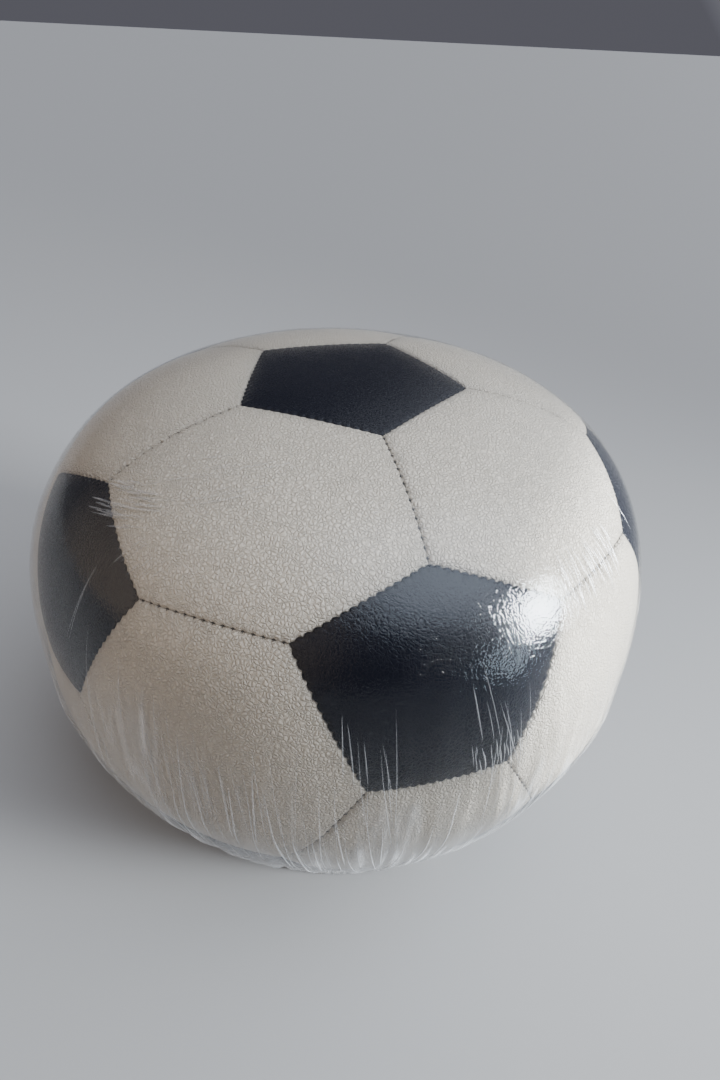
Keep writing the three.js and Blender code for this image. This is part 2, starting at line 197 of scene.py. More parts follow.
def make_mesh(name, points, faces, edges=(), smooth=True):
    mesh = bpy.data.meshes.new(name)
    mesh.from_pydata([tuple(p) for p in np.asarray(points, float)], edges, [tuple(f) for f in faces])
    mesh.validate()
    if smooth:
        mesh.polygons.foreach_set("use_smooth", [True] * len(mesh.polygons))
    mesh.update()
    return shown(mesh)


def give(thing, name, values):
    """Gives each point of a mesh its own number or its own vector."""
    values = np.asarray(values, np.float32)
    kind, field = ("FLOAT_VECTOR", "vector") if values.ndim == 2 else ("FLOAT", "value")
    thing.data.attributes.new(name, kind, "POINT").data.foreach_set(field, values.ravel())


def triangles_in(thing):
    return sum(len(p.vertices) - 2 for p in thing.data.polygons)


def grid_noise(points, scale, seed):
    """Smooth noise from -1 to 1 at each point, `scale` metres from bump to bump."""
    offset = Vector((seed * 17.3, seed * 5.1, seed * 9.7))
    return np.array([noise.noise(Vector(p) / scale + offset) for p in points])


# %% [markdown]
# ## A sewn panel
#
# A panel is plump in the middle and is pulled down to its seam along each edge. Sixteen stitches cross an
# edge, and each one drags a small pit into the leatherette. Between stitches the edge bulges, so a dark
# panel's edge looks scalloped where it lies over its pale neighbour. The mesh is a set of rings that follow
# the panel's edge: close together at the seam, where the shape is fine, and wide apart in the middle, with
# half as many points in each ring wherever the detail allows. The same rings, deeper and fewer, make the
# panel's back.

# %% The shape of a seam
STITCHES = 16
FRONT_RINGS = [  # distance from the seam in metres, points along each edge
    (0.00012, 128), (0.0003, 128), (0.0006, 128), (0.0011, 128), (0.0018, 128), (0.0028, 128),
    (0.0042, 64), (0.0062, 64), (0.009, 64), (0.013, 32), (0.018, 32), (0.025, 32), (0.034, 16),
    (0.045, 16), (0.056, 8)]
BACK_RINGS = [(0.0006, 128), (0.003, 64), (0.009, 32), (0.025, 16), (0.050, 8)]
SEAM_DEPTH = {"dark": 0.0015, "pale_by_dark": 0.0021, "pale_by_pale": 0.0019}
SEAM_ROLL = {"dark": 0.0024, "pale_by_dark": 0.0030, "pale_by_pale": 0.0027}
SCALLOP = {"dark": 0.0013, "pale_by_dark": -0.0013, "pale_by_pale": 0.0002}
TUCK = {"dark": 0.0, "pale_by_dark": 0.00012, "pale_by_pale": 0.0}
PIT_DEPTH = {"dark": 0.0007, "pale_by_dark": 0.0001, "pale_by_pale": 0.0008}
PIT_GAP = {"dark": 0.0, "pale_by_dark": 0.0, "pale_by_pale": 0.00035}
PIT_LENGTH, PIT_REACH = 0.0009, 0.0015
PLUMP_DEPTH, PLUMP_REACH = 0.0013, 0.012
# The last number here is how far the `near_seam` share runs in from a seam; that share drives the painted
# seam shade on the cream.
ROLL_SHARE, SCALLOP_MEAN, CORNER_SHARE, SHIFT_REACH, NEAR_SEAM_REACH = 0.98, 0.35, 0.04, 0.002, 0.004


def seam_height(distance, phase, kind):
    """How far the leatherette lies below the plump cover, `distance` from a seam, `phase` from a stitch."""
    share = np.clip(1 - distance / SEAM_ROLL[kind], 0, 1)
    rolled = -SEAM_DEPTH[kind] * (1 - np.sqrt(1 - ROLL_SHARE * share**2))
    plump = -PLUMP_DEPTH * np.exp(-distance / PLUMP_REACH)
    pit = -PIT_DEPTH[kind] * np.exp(-((phase / PIT_LENGTH) ** 2)) * np.exp(-distance / PIT_REACH)
    return rolled + plump + pit


def seam_shift(distance, phase, pitch, share, kind):
    """How far a point moves in from its seam: open at a stitch, bulging out or receding between two."""
    away_from_corner = np.clip(np.minimum(share, 1 - share) / CORNER_SHARE, 0, 1)
    bulge = SCALLOP[kind] * (np.abs(np.sin(np.pi * phase / pitch)) - SCALLOP_MEAN) * away_from_corner
    gap = PIT_GAP[kind] * np.exp(-((phase / PIT_LENGTH) ** 2))
    return (gap - bulge - TUCK[kind]) * np.exp(-distance / SHIFT_REACH)


# %% One ring of a panel
LUMP_HEIGHT, LUMP_SIZE, LUMP_SEED = 0.0006, 0.075, 3
LUMPS_FROM, LUMPS_FULL_AFTER = 0.004, 0.03  # metres above the floor


def seam_kinds(name, corners):
    """For each edge of a panel, which of the three kinds of seam it is."""
    if name.startswith("pentagon"):
        return ["dark"] * 5
    mid = [tuple(np.round((corners[i] + corners[(i + 1) % 6]) / 2, 3)) for i in range(6)]
    return ["pale_by_dark" if m in seams_of_pentagons else "pale_by_pale" for m in mid]


def panel_ring(name, distance, count, deeper=0.0):
    """The points of one ring, `distance` in from the panel's seams, `count` to each edge."""
    corners, middle = panels[name], middles[name]
    ends = on_cover(corners)[0]
    edge_middles = on_cover((corners + np.roll(corners, -1, 0)) / 2)[0]
    apothem = np.linalg.norm(edge_middles - on_cover(middle[None])[0], axis=1).mean()
    directions, heights = [], []
    for i, kind in enumerate(seam_kinds(name, corners)):
        following = (i + 1) % len(corners)
        share = np.arange(count) / count
        pitch = np.linalg.norm(ends[following] - ends[i]) / STITCHES
        phase = (share * STITCHES % 1 - 0.5) * pitch
        edge = corners[i] + (corners[following] - corners[i]) * share[:, None]
        inset = (distance + seam_shift(distance, phase, pitch, share, kind)) / apothem
        directions.append(edge + (middle - edge) * inset[:, None])
        heights.append(seam_height(distance, phase, kind) - deeper)
    return np.concatenate(directions), np.concatenate(heights)


# %% A whole panel
def bridge(near, far):
    """Faces between two rings of point numbers, the inner one with as many points or half as many."""
    n, m = len(near), len(far)
    if n == m:
        return [(near[i], near[(i + 1) % n], far[(i + 1) % m], far[i]) for i in range(n)]
    faces = []
    for j in range(m):
        a, b, c = near[2 * j], near[2 * j + 1], near[(2 * j + 2) % n]
        faces += [(a, b, far[j]), (b, far[(j + 1) % m], far[j]), (b, c, far[(j + 1) % m])]
    return faces


def ring_faces(counts):
    """Outward faces for rings from the crown down, each as large as the next, or twice or half as large."""
    faces, start = [], 0
    for above, below in zip(counts, counts[1:]):
        upper, lower = start + np.arange(above), start + above + np.arange(below)
        if above == 1:
            faces += [(upper[0], lower[i], lower[(i + 1) % below]) for i in range(below)]
        elif below == 1:
            faces += [(lower[0], upper[(i + 1) % above], upper[i]) for i in range(above)]
        elif below >= above:
            faces += bridge(lower, upper)
        else:
            faces += [f[::-1] for f in bridge(upper, lower)]
        start += above
    return faces


def panel_points(name):
    """Points and faces of a panel: rings and a middle point in front, and the same behind."""
    points, rings, seam_shares = [], [], []
    for table, deeper in ((FRONT_RINGS, 0.0), (BACK_RINGS, LEATHERETTE)):
        side = []
        for distance, count in table:
            directions, heights = panel_ring(name, distance, count, deeper)
            side.append(len(seam_shares) + np.arange(len(directions)))
            points.append(on_cover(directions, heights)[0])
            seam_shares += [math.exp(-distance / NEAR_SEAM_REACH)] * len(directions)
        side.append(np.array([len(seam_shares)]))
        points.append(on_cover(middles[name][None], -deeper)[0])
        seam_shares.append(0.0)
        rings.append(side)
    faces = []
    for side, flip in ((rings[0], 1), (rings[1], -1)):
        found = []
        for near, far in zip(side[:-2], side[1:-1]):
            found += bridge(near, far)
        last, tip = side[-2], side[-1][0]
        found += [(last[i], last[(i + 1) % len(last)], tip) for i in range(len(last))]
        faces += [f[::flip] for f in found]
    faces += [f[::-1] for f in bridge(rings[0][0], rings[1][0])]
    return np.concatenate(points), faces, seam_shares


def lumps(points):
    """Slow swells of the filling under the leatherette, which die out where the base rests on the floor."""
    rise = np.clip((points[:, 2] - LUMPS_FROM) / LUMPS_FULL_AFTER, 0, 1)
    return LUMP_HEIGHT * rise * grid_noise(points, LUMP_SIZE, LUMP_SEED)


def outward(points):
    """Unit vectors away from the middle of the girth."""
    away = points - np.array([0, 0, GIRTH_HEIGHT])
    return away / np.linalg.norm(away, axis=1)[:, None]


def make_panel(name):
    points, faces, seam_shares = panel_points(name)
    points += outward(points) * lumps(points)[:, None]
    made = make_mesh(f"cover_{name}", points, faces)
    give(made, "near_seam", seam_shares)
    return made


cover = {name: make_panel(name) for name in panels}
print("cover triangles:", sum(triangles_in(p) for p in cover.values()))

# %% [markdown]
# ## The base panel in two halves
#
# The dark panel under the pouffe is cut across for the filling zip. A plane cuts the finished panel each
# side of the zip's slot, and the cut is closed with a face, so both halves stay solid.

# %% Cutting the base panel
ZIP_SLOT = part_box("panel_pentagon_base_back")[0].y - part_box("panel_pentagon_base_front")[1].y


def half_panel(whole, label, side):
    mesh = bmesh.new()
    mesh.from_mesh(whole.data)
    everything = mesh.verts[:] + mesh.edges[:] + mesh.faces[:]
    cut = bmesh.ops.bisect_plane(mesh, geom=everything, plane_co=(0, side * ZIP_SLOT / 2, 0),
                                 plane_no=(0, -side, 0), clear_outer=True)
    bmesh.ops.holes_fill(mesh, edges=[e for e in cut["geom_cut"] if isinstance(e, bmesh.types.BMEdge)])
    half = bpy.data.meshes.new(f"cover_pentagon_base_{label}")
    mesh.to_mesh(half)
    mesh.free()
    return shown(half)


whole_base = cover.pop("pentagon_base")
cover["pentagon_base_front"] = half_panel(whole_base, "front", -1)
cover["pentagon_base_back"] = half_panel(whole_base, "back", 1)
bpy.data.objects.remove(whole_base)
print("zip slot is", round(ZIP_SLOT * 1000, 1), "mm wide")

# %% [markdown]
# ## Maths for materials and recipes
#
# A material's pattern is a sum over nodes, and it reads best as one. `Value` wraps a socket and overloads
# the operators, so that `1 - mask` or `grain * 0.4` adds the Math nodes it needs. `Nodes` holds one tree
# and has one method for every other kind of node: its type, the settings that come first, and its sockets.
# `Finish` is a material's tree. `Recipe` is a Geometry Nodes tree with named inputs: it repeats a small
# shape along the points or lines of a plain mesh, and `grow` turns what it made into a plain mesh of its
# own.

# %% Value and Nodes
class Value:
    """One socket of a node tree. Arithmetic on it adds Math nodes."""

    def __init__(self, nodes, socket):
        self.nodes, self.socket = nodes, socket

    def maths(self, operation, *others, clamp=False):
        node = self.nodes.tree.nodes.new("ShaderNodeMath")
        node.operation, node.use_clamp = operation, clamp
        for socket, value in zip(node.inputs, others):
            self.nodes.feed(socket, value)
        return Value(self.nodes, node.outputs[0])

    def __add__(self, other):
        return self.maths("ADD", self, other)

    def __sub__(self, other):
        return self.maths("SUBTRACT", self, other)

    def __rsub__(self, other):
        return self.maths("SUBTRACT", other, self)

    def __mul__(self, other):
        return self.maths("MULTIPLY", self, other)

    def __truediv__(self, other):
        return self.maths("DIVIDE", self, other)

    def __pow__(self, other):
        return self.maths("POWER", self, other)

    __radd__, __rmul__ = __add__, __mul__

    def clamped(self):
        return self.maths("ADD", self, 0.0, clamp=True)

    def between(self, low, high):
        """0 at low, 1 at high, straight between them and level outside."""
        return ((self - low) / (high - low)).clamped()


class Nodes:
    """A node tree, with one method for every node that isn't plain arithmetic."""

    def __init__(self, tree):
        self.tree = tree
        self.tree.nodes.clear()

    def feed(self, socket, value):
        if isinstance(value, Value):
            self.tree.links.new(value.socket, socket)
        else:
            socket.default_value = value

    def node(self, kind, settings=None, **sockets):
        """Adds a node. Its sockets go by name or identifier, and the result maps output names to Values."""
        node = self.tree.nodes.new(kind)
        for key, value in (settings or {}).items():
            setattr(node, key, value)
        for key, value in sockets.items():
            names = (key, key.replace("_", " "))
            found = [s for s in node.inputs if s.identifier in names] or [
                s for s in node.inputs if s.name in names and s.enabled]
            self.feed(found[0], value)
        return {s.name: Value(self, s) for s in node.outputs if s.enabled}


class Finish(Nodes):
    """The node tree of one material."""

    def __init__(self, name):
        self.material = bpy.data.materials.new(name)
        self.material.use_nodes = True
        super().__init__(self.material.node_tree)
        self.place = self.node("ShaderNodeTexCoord")["Object"]

    def noise(self, scale, detail=2.0, roughness=0.5, place=None):
        return self.node("ShaderNodeTexNoise", Vector=place or self.place, Scale=scale, Detail=detail,
                         Roughness=roughness)["Fac"]

    def attribute(self, name):
        return self.node("ShaderNodeAttribute", {"attribute_name": name})["Fac"]

    def stretched(self, scale):
        return self.node("ShaderNodeMapping", Vector=self.place, Scale=scale)["Vector"]

    def mix(self, share, first, second):
        """A colour between two, by a share from 0 to 1."""
        return self.node("ShaderNodeMix", {"data_type": "RGBA"}, Factor_Float=share, A_Color=first,
                         B_Color=second)["Result"]

    def bump(self, height, depth):
        return self.node("ShaderNodeBump", Strength=1.0, Distance=depth, Height=height)["Normal"]

    def principled(self, **sockets):
        return self.node("ShaderNodeBsdfPrincipled", **sockets)["BSDF"]

    def done(self, shader):
        self.node("ShaderNodeOutputMaterial", Surface=shader)
        return self.material

    def coat(self, tone, roughness, height, depth, **sockets):
        """Ends the tree in one surface of a colour and roughness, with a relief `depth` metres high."""
        relief = self.bump(height, depth)
        return self.done(self.principled(Base_Color=tone, Roughness=roughness, Normal=relief, **sockets))


class Recipe(Nodes):
    """A Geometry Nodes tree whose inputs have names."""

    def attribute(self, name, data_type="FLOAT_VECTOR"):
        return self.node("GeometryNodeInputNamedAttribute", {"data_type": data_type}, Name=name)["Attribute"]

    def __init__(self, name, **inputs):
        super().__init__(bpy.data.node_groups.new(name, "GeometryNodeTree"))
        self.tree.interface.new_socket("Geometry", in_out="INPUT", socket_type="NodeSocketGeometry")
        for title, default in inputs.items():
            kind = {float: "Float", int: "Int", tuple: "Vector"}[type(default)]
            made = self.tree.interface.new_socket(title, in_out="INPUT", socket_type=f"NodeSocket{kind}")
            made.default_value = default
        self.tree.interface.new_socket("Geometry", in_out="OUTPUT", socket_type="NodeSocketGeometry")
        self.inputs = self.node("NodeGroupInput")

    def done(self, geometry, material):
        """Ends the tree in a plain, smooth mesh of one material."""
        plain = self.node("GeometryNodeRealizeInstances", Geometry=geometry)["Geometry"]
        smooth = self.node("GeometryNodeSetShadeSmooth", Geometry=plain)["Geometry"]
        coated = self.node("GeometryNodeSetMaterial", Geometry=smooth, Material=material)["Geometry"]
        self.node("NodeGroupOutput", Geometry=coated)
        return self.tree


def grow(name, base, recipe, **values):
    """Runs a recipe on a plain mesh, with values for its inputs, and returns a new plain object."""
    modifier = base.modifiers.new(name, "NODES")
    modifier.node_group = recipe
    for title, value in values.items():
        modifier[recipe.interface.items_tree[title].identifier] = value
    evaluated = base.evaluated_get(bpy.context.evaluated_depsgraph_get())
    mesh = bpy.data.meshes.new_from_object(evaluated)
    mesh.name = name
    bpy.data.objects.remove(base)
    return shown(mesh)


print("materials and recipes share", [c.__name__ for c in (Value, Nodes)])

# %% [markdown]
# ## Leatherette
#
# Leatherette is cloth with a coat of plastic, embossed with a pebble grain a little over two millimetres
# across. A Voronoi pattern's distance to its cells' edges gives rounded pebbles with fine creases between
# them, and a little noise bends the cells so that they don't look like tiles. The grain feeds a Bump node.
# The colour is darker in the grain's creases, which is painted shade, and drifts a little from place to
# place towards that darker tone. Close to the seams, which each panel's own `near_seam` attribute tells, it
# turns patchily darker on the cream, which is painted shade in the seam valleys, and a little lighter on the
# navy. Both colours share this one recipe.

# %% Leatherette's grain
GRAIN_SIZE = 0.0023


def pebble_grain(finish, size=GRAIN_SIZE):
    """The embossed grain's height, from 0 in a crease to about 1 on a pebble."""
    wander = finish.node("ShaderNodeTexNoise", Vector=finish.place, Scale=0.45 / size, Detail=2.0)["Color"]
    shift = finish.node("ShaderNodeVectorMath", {"operation": "SUBTRACT"}, Vector=wander,
                        Vector_001=(0.5, 0.5, 0.5))["Vector"]
    moved = finish.node("ShaderNodeVectorMath", {"operation": "MULTIPLY_ADD"}, Vector=shift,
                        Vector_001=(1.3 * size,) * 3, Vector_002=finish.place)["Vector"]
    edge = finish.node("ShaderNodeTexVoronoi", {"feature": "DISTANCE_TO_EDGE"}, Vector=moved,
                       Scale=1 / size)["Distance"]
    pebble = 1 - (1 - edge.between(0.0, 0.45)) ** 2.0
    return pebble * 0.82 + finish.noise(2.6 / size, 3.0) * 0.3


def leatherette(name, colour, crease_shade_and_drift_colour, near_seam_colour, roughness, gloss, relief):
    """One colour of leatherette. `gloss` is its specular level, and `relief` the grain's height in metres."""
    finish = Finish(name)
    grain = pebble_grain(finish)
    drift = finish.noise(9.0, 4.0, 0.55)
    # Near the seams the colour moves patchily to a third tone: darker on the cream, which is painted shade in
    # the seam valleys, and a little lighter on the navy.
    seam_patches = finish.attribute("near_seam") * finish.noise(60.0, 3.0).between(0.3, 0.7) * 0.6
    # Painted shade: the colour darkens in the grain's creases, and drifts from place to place towards the
    # same darker tone.
    crease_shaded = finish.mix((1 - grain).clamped() * 0.18, colour, crease_shade_and_drift_colour)
    crease_shaded_and_drifted = finish.mix(drift.between(0.35, 0.75) * 0.25, crease_shaded, crease_shade_and_drift_colour)
    shaded_and_seam_toned = finish.mix(seam_patches.clamped(), crease_shaded_and_drifted, near_seam_colour)
    return finish.coat(shaded_and_seam_toned, (roughness + (1 - grain) * 0.12 + drift * 0.08).clamped(), grain, relief,
                       Specular_IOR_Level=gloss)


# For each colour: its own tone, the darker tone of the painted shade in the grain's creases, and the tone
# close to the seams, which is painted shade on the cream.
cream = leatherette("cream_leatherette", (0.67, 0.60, 0.50, 1), (0.43, 0.38, 0.31, 1),
                    (0.33, 0.29, 0.24, 1), 0.45, 0.4, 0.0010)
navy = leatherette("navy_leatherette", (0.0040, 0.0050, 0.0105, 1), (0.0020, 0.0024, 0.0050, 1),
                   (0.0060, 0.0068, 0.0120, 1), 0.16, 0.10, 0.00012)
for name, panel in cover.items():
    panel.data.materials.append(navy if name.startswith("pentagon") else cream)
print("leatherette on", len(cover), "panels")

# %% Panels ride on the pouffe
for name, panel in cover.items():
    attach(panel, "pouffe")
    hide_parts(f"panel_{name}")

# %% [markdown]
# ## What holds the seams
#
# Leatherette panels are sewn right sides together, so each seam has an allowance turned in behind it, and
# only short ticks of thread show where the pull of the stitches opens it. Behind every seam lies a narrow
# strip of the leatherette's dark knitted backing. It follows the backs of the two panels, so that no light
# gets through. The seams are found from the panels: each edge that two panels share is one seam.

# %% The seams
def all_seams():
    """Each seam once, as its two ends' directions and whether a dark panel lies on one side."""
    found = {}
    for name, corners in panels.items():
        for i in range(len(corners)):
            ends = corners[i], corners[(i + 1) % len(corners)]
            key = tuple(np.round((ends[0] + ends[1]) / 2, 3))
            found.setdefault(key, (*ends, key in seams_of_pentagons))
    return list(found.values())


seams = all_seams()
print(len(seams), "seams with", len(seams) * STITCHES, "stitches")

# %% Backing strips behind the seams
STRIP_REACH, STRIP_THICKNESS, STRIP_CLEARANCE = 0.0035, 0.0008, 0.00015
STRIP_STEPS, STRIP_OVERRUN = 24, 0.02


def across_seam(first, second, share):
    """Directions along a seam, and the unit vector that crosses it at each."""
    line = first + (second - first) * np.reshape(share, (-1, 1))
    points, normal = on_cover(line)
    step = np.gradient(points, axis=0)
    across = np.cross(normal, step)
    return line, normal, across / np.linalg.norm(across, axis=1)[:, None]


def backing_strips():
    offsets = np.array([-1, -0.6, -0.3, 0, 0.3, 0.6, 1]) * STRIP_REACH
    below = {}
    for dark, kinds in ((True, ("dark", "pale_by_dark")), (False, ("pale_by_pale",))):
        lowest = np.min([seam_height(np.abs(offsets), 0.0, kind) for kind in kinds], axis=0)
        below[dark] = lowest - LEATHERETTE - STRIP_CLEARANCE
    points, faces, width = [], [], len(offsets)
    for first, second, dark in seams:
        share = np.linspace(-STRIP_OVERRUN, 1 + STRIP_OVERRUN, STRIP_STEPS + 1)
        line, normal, across = across_seam(first, second, share)
        start = sum(len(p) for p in points)
        for deeper in (0, STRIP_THICKNESS):
            for offset, height in zip(offsets, below[dark]):
                moved = on_cover(line)[0] + across * offset
                moved -= np.array([0, 0, GIRTH_HEIGHT])
                points.append(on_cover(moved, height - deeper)[0])
        rows = start + np.arange(2 * width * (STRIP_STEPS + 1)).reshape(2 * width, -1)
        loop = [*rows[:width], *rows[:width - 1:-1]]
        for near, far in zip(loop, loop[1:] + loop[:1]):
            faces += [(far[i], near[i], near[i + 1], far[i + 1]) for i in range(STRIP_STEPS)]
        faces.append([row[0] for row in loop])
        faces.append([row[-1] for row in loop[::-1]])
    return make_mesh("seam_backing", np.concatenate(points), faces)


def knitted_backing():
    finish = Finish("knitted_backing")
    loops = finish.noise(900.0, 1.0, place=finish.stretched((1.0, 1.0, 0.55)))
    tone = finish.mix(loops.between(0.35, 0.7), (0.025, 0.022, 0.020, 1), (0.10, 0.09, 0.08, 1))
    return finish.coat(tone, 0.9, loops, 0.0003)


backing = backing_strips()
backing.data.materials.append(knitted_backing())
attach(backing, "pouffe")
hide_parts("seam_allowance")
print("backing triangles:", triangles_in(backing))

# %% [markdown]
# ## Stitches
#
# Where a stitch pulls the seam open, a short piece of dark thread crosses it. All of them are alike, so a
# Geometry Nodes tree puts one small thread on every point of a plain mesh of points. Each point carries two
# vectors: away from the cover, and across its seam. The thread is a low arch with both ends in the
# leatherette.

# %% The stitch recipe
def stitch_recipe(material):
    recipe = Recipe("stitches", Length=0.0028, Rise=0.0004, Thickness=0.00042)
    given = recipe.inputs
    half_length = given["Length"] * 0.5

    def at(x, z):
        return recipe.node("ShaderNodeCombineXYZ", X=x, Z=z)["Vector"]

    arch = recipe.node("GeometryNodeCurveQuadraticBezier", Resolution=5,
                       Start=at(half_length * -1, given["Rise"] * -1), Middle=at(0.0, given["Rise"]),
                       End=at(half_length, given["Rise"] * -1))["Curve"]
    round_thread = recipe.node("GeometryNodeCurvePrimitiveCircle", Resolution=6,
                               Radius=given["Thickness"] * 0.5)["Curve"]
    thread = recipe.node("GeometryNodeCurveToMesh", Curve=arch, Profile_Curve=round_thread,
                         Fill_Caps=True)["Mesh"]
    turn = recipe.node("FunctionNodeAxesToRotation", {"primary_axis": "Z", "secondary_axis": "X"},
                       Primary_Axis=recipe.attribute("away"), Secondary_Axis=recipe.attribute("across"))
    placed = recipe.node("GeometryNodeInstanceOnPoints", Points=given["Geometry"], Instance=thread,
                         Rotation=turn["Rotation"])["Instances"]
    return recipe.done(placed, material)


# %% Stitches on every seam
STITCH_SEAT = {True: -0.0036, False: -0.0022}  # by whether the seam has a dark side


def stitch_points():
    """Bare points, one where each stitch crosses its seam, with the vectors that the recipe reads."""
    points, away, across = [], [], []
    share = (np.arange(STITCHES) + 0.5) / STITCHES
    for first, second, dark in seams:
        line, normal, sideways = across_seam(first, second, share)
        points.append(on_cover(line, STITCH_SEAT[dark])[0])
        away.append(normal)
        across.append(sideways)
    points = np.concatenate(points)
    points += outward(points) * lumps(points)[:, None]
    made = make_mesh("stitch_points", points, [])
    give(made, "away", np.concatenate(away))
    give(made, "across", np.concatenate(across))
    return made


def thread_finish():
    finish = Finish("sewing_thread")
    twist = finish.node("ShaderNodeTexWave", Vector=finish.place, Scale=700.0, Distortion=1.0)["Fac"]
    tone = finish.mix(twist, (0.018, 0.016, 0.015, 1), (0.07, 0.065, 0.06, 1))
    return finish.coat(tone, 0.6, twist, 0.0001)


stitches = grow("stitches", stitch_points(), stitch_recipe(thread_finish()))
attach(stitches, "pouffe")
print("stitch triangles:", triangles_in(stitches))

# %% [markdown]
# ## The stretch film
#
# Clear film is wound round the whole pouffe and tucked under it. On top it's drawn tight over the
# leatherette and is hardly seen but for its gloss. Down the sides it isn't: it was pulled in under the
# base, so the spare width gathers in upright pleats, which deepen towards the floor and stand off as a hazy
# apron at the foot. The film's mesh is rings of points on a profile of its own, pushed out by noise that is
# long down the profile and short across it. Two attributes go with it: how milky the film is, which also
# paints one glare as a milky patch, and how closely it's pressed on the grain.

# %% The film's profile
FILM_LIFT, APRON_START, APRON_FOOT, HEM_RADIUS, HEM_LIFT = 0.0009, 0.475, 0.157, 0.141, 0.0010
KNEE_REACH, DROP_STEPS = 0.022, 30


def film_profile():
    """Points (radius, height) of the film: off the cover, down to the floor as an apron, in to its hem."""
    on = along < APRON_START
    loose = outline[on] + normals[on] * FILM_LIFT
    leave, tangent = loose[-1], np.diff(loose[-3:-1], axis=0)[0]
    knee = leave + tangent / np.linalg.norm(tangent) * KNEE_REACH
    foot = np.array([APRON_FOOT, HEM_LIFT])
    t = np.linspace(0, 1, DROP_STEPS)[1:, None]
    drop = (1 - t) ** 2 * leave + 2 * (1 - t) * t * knee + t**2 * foot
    tuck = foot + (np.array([HEM_RADIUS, HEM_LIFT * 1.5]) - foot) * t[::3]
    return np.concatenate([loose, drop, tuck])


film_line = film_profile()
film_along = np.concatenate([[0], np.cumsum(np.hypot(*np.diff(film_line, axis=0).T))])
film_slope = np.gradient(film_line, axis=0)
film_normals = np.stack([-film_slope[:, 1], film_slope[:, 0]], 1)
film_normals /= np.linalg.norm(film_normals, axis=1)[:, None]
FILM_LENGTH = film_along[-1]
print("film from crown to hem:", round(FILM_LENGTH, 3), "m, and the apron starts",
      round(float(np.interp(APRON_START, film_along, film_line[:, 1])), 3), "m above the floor")


# %% Pleats and slack
# Patterns of noise: bumps round the pouffe, metres from bump to bump down the film, seed.
PLEATS, FOLDS, CRESTS, PATCHES = (150, 0.09, 1), (55, 0.16, 2), (120, 0.15, 4), (24, 0.05, 5)
SEED_STEP = 31.7
GATHER_START, GATHER_REACH = 0.20, 0.26
GATHERED_RISE = {"pleats": 0.0011, "folds": 0.0016}
APRON_RISE = {"pleats": 0.0005, "folds": 0.0018}
LOOSE_PATCH = {"azimuth": -170, "sweep": 26, "down": 0.27, "reach": 0.075, "rise": 0.0035}
TAB = {"azimuth": -149, "sweep": 2.4, "reach": 0.013}
# The glare patch makes the film milky where a bright smear of light lies on it, which is painted glare.
GLARE = {"azimuth": -135.5, "sweep": 3.5, "down": 0.292, "reach": 0.022}
LOWEST_FILM, DEEPEST_LUMP = 0.0005, -0.0006


def around(angle, down, pattern):
    """Noise from -1 to 1 that meets itself round the pouffe and is drawn out along the film."""
    cells, size, seed = pattern
    radius = cells / (2 * np.pi)
    places = zip(radius * np.cos(angle), radius * np.sin(angle), down / size + SEED_STEP * seed)
    return np.array([noise.noise(Vector(place)) for place in places])


def ramp(value, start, reach):
    """0 up to start, 1 from start plus reach, straight between."""
    return np.clip((value - start) / reach, 0, 1)


def hill(value, centre, reach):
    return np.exp(-(((value - centre) / reach) ** 2))


def hill_round(angle, patch):
    """How near an azimuth is to a patch's own, the short way round: 1 at it and 0 well away from it."""
    return hill((np.degrees(angle) - patch["azimuth"] + 180) % 360 - 180, 0, patch["sweep"])


def hill_on(down, angle, patch):
    """A soft patch of the film: 1 in its middle and 0 well away from it."""
    return hill_round(angle, patch) * hill(down, patch["down"], patch["reach"])


def film_slack(down, angle):
    """How far the film stands off its taut profile, in metres."""
    gather, apron = ramp(down, GATHER_START, GATHER_REACH) ** 1.5, ramp(down, APRON_START - 0.03, 0.06)
    ridges = {"pleats": np.clip(1 - np.abs(around(angle, down, PLEATS)) * 2.6, 0, 1),
              "folds": np.clip(1 - np.abs(around(angle, down, FOLDS)) * 2.2, 0, 1)}
    slack = sum((gather * GATHERED_RISE[kind] + apron * APRON_RISE[kind]) * ridges[kind] for kind in ridges)
    loose = hill_on(down, angle, LOOSE_PATCH)
    return slack * (1 - 0.8 * loose) + LOOSE_PATCH["rise"] * loose


def film_milk_and_glare(down, angle, slack):
    """How milky the film is where it's gathered and on the crests of its folds, plus a milky patch of painted
    glare.
    """
    crests = np.clip(1 - np.abs(around(angle, down, CRESTS)) * 2.8, 0, 1) ** 3
    patches = np.clip(around(angle, down, PATCHES) * 1.8 + 0.5, 0, 1)
    milk_and_glare = hill(down, 0.44, 0.075) * 0.22 + np.clip(slack / 0.004, 0, 1) * 0.15
    milk_and_glare += crests * patches * ramp(down, 0.27, 0.10) * 0.42
    return milk_and_glare + hill_on(down, angle, GLARE) * 0.5 * (0.35 + crests)


def film_points(down, angle):
    """Points of the film, how milky it is with its painted glare, and how closely pressed on the leatherette
    it is at each.
    """
    down, angle = np.broadcast_arrays(np.asarray(down, float), np.asarray(angle, float))
    radius, z = (np.interp(down, film_along, film_line[:, i]) for i in (0, 1))
    out, up = (np.interp(down, film_along, film_normals[:, i]) for i in (0, 1))
    slack = film_slack(down, angle)
    keep_up = ramp(-down, 0.012 - FILM_LENGTH, 0.03)
    tab = TAB["reach"] * hill_round(angle, TAB) * ramp(down, FILM_LENGTH - 0.03, 0.012)
    standing = ramp(down, APRON_START - 0.02, 0.03)
    out, up = out * (1 - standing) + standing, up * (1 - standing)
    radius, z = radius + tab + out * slack * keep_up, z + up * slack * keep_up
    points = np.stack([radius * np.cos(angle), radius * np.sin(angle), np.maximum(z, LOWEST_FILM)], 1)
    points += outward(points) * np.maximum(lumps(points), DEEPEST_LUMP)[:, None]
    return points, film_milk_and_glare(down, angle, slack), np.clip(1 - slack / 0.0022, 0, 1)


